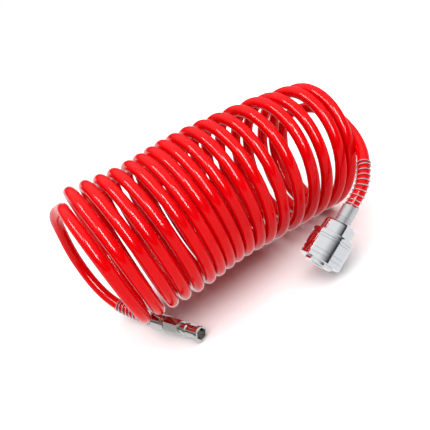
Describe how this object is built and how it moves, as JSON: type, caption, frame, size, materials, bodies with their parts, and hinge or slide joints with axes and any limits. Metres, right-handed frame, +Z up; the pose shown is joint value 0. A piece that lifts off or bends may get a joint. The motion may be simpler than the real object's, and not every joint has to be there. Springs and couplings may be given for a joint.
{
  "type": "coiled air hose",
  "caption": "Coiled polyurethane recoil air hose with guard springs, a pull-back quick coupler on one end and a plug on the other.",
  "frame": {"origin": "middle of the whole object's footprint, on the floor it lies on", "axes": "+X along the coil from the plug end to the coupler end, +Z up"},
  "size_m": [0.2153, 0.1423, 0.1137],
  "materials": {
    "polyurethane_red": "extruded polyurethane, glossy opaque red",
    "chromed_steel": "bright chrome plate on turned steel",
    "nickel_plated_steel": "nickel plate on turned and milled steel",
    "spring_steel": "bright zinc-plated spring wire",
    "black_rubber": "moulded nitrile rubber",
    "white_nylon": "moulded natural nylon",
    "ball_steel": "ground bearing steel"
  },
  "bodies": {
    "hose": {"hose_coil": "polyurethane_red", "hose_tail_plug": "polyurethane_red", "hose_tail_coupler": "polyurethane_red", "hose_end_plug": "polyurethane_red", "hose_end_coupler": "polyurethane_red", "plug_guard_spring": "spring_steel", "coupler_guard_spring": "spring_steel", "plug_ferrule": "chromed_steel", "coupler_ferrule": "chromed_steel", "plug_body": "nickel_plated_steel", "coupler_tail": "chromed_steel", "body_gasket": "black_rubber", "coupler_body": "chromed_steel", "nose_ring": "chromed_steel", "sleeve_spring": "spring_steel", "valve_spring": "spring_steel", "body_seal": "black_rubber"},
    "sleeve": {"coupler_sleeve": "chromed_steel"},
    "valve": {"valve_poppet": "white_nylon", "valve_seal": "black_rubber"},
    "ball_1": {"locking_ball_1": "ball_steel"},
    "ball_2": {"locking_ball_2": "ball_steel"},
    "ball_3": {"locking_ball_3": "ball_steel"},
    "ball_4": {"locking_ball_4": "ball_steel"}
  },
  "joints": [
    {"name": "sleeve_slide", "type": "slide", "parent": "hose", "child": "sleeve", "axis": [0.8869, 0.04, 0.4601], "range_m": [0, 0.004], "stiffness_N_per_m": 1500, "springref_m": -0.004, "deforming": ["sleeve_spring"]},
    {"name": "valve_slide", "type": "slide", "parent": "hose", "child": "valve", "axis": [0.8869, 0.04, 0.4601], "range_m": [0, 0.002], "stiffness_N_per_m": 600, "springref_m": -0.002, "deforming": ["valve_spring"]},
    {"name": "ball_1_lift", "type": "slide", "parent": "hose", "child": "ball_1", "axis": [0.4605, 0, -0.8877], "range_m": [0, 0.0009]},
    {"name": "ball_2_lift", "type": "slide", "parent": "hose", "child": "ball_2", "axis": [0.0355, -0.9992, 0.0184], "range_m": [0, 0.0009]},
    {"name": "ball_3_lift", "type": "slide", "parent": "hose", "child": "ball_3", "axis": [-0.4605, 0, 0.8877], "range_m": [0, 0.0009]},
    {"name": "ball_4_lift", "type": "slide", "parent": "hose", "child": "ball_4", "axis": [-0.0355, 0.9992, -0.0184], "range_m": [0, 0.0009]}
  ],
  "couplings": [
    {"joint": "ball_1_lift", "follows": "sleeve_slide", "ratio": 0.2125},
    {"joint": "ball_2_lift", "follows": "sleeve_slide", "ratio": 0.2125},
    {"joint": "ball_3_lift", "follows": "sleeve_slide", "ratio": 0.2125},
    {"joint": "ball_4_lift", "follows": "sleeve_slide", "ratio": 0.2125}
  ]
}
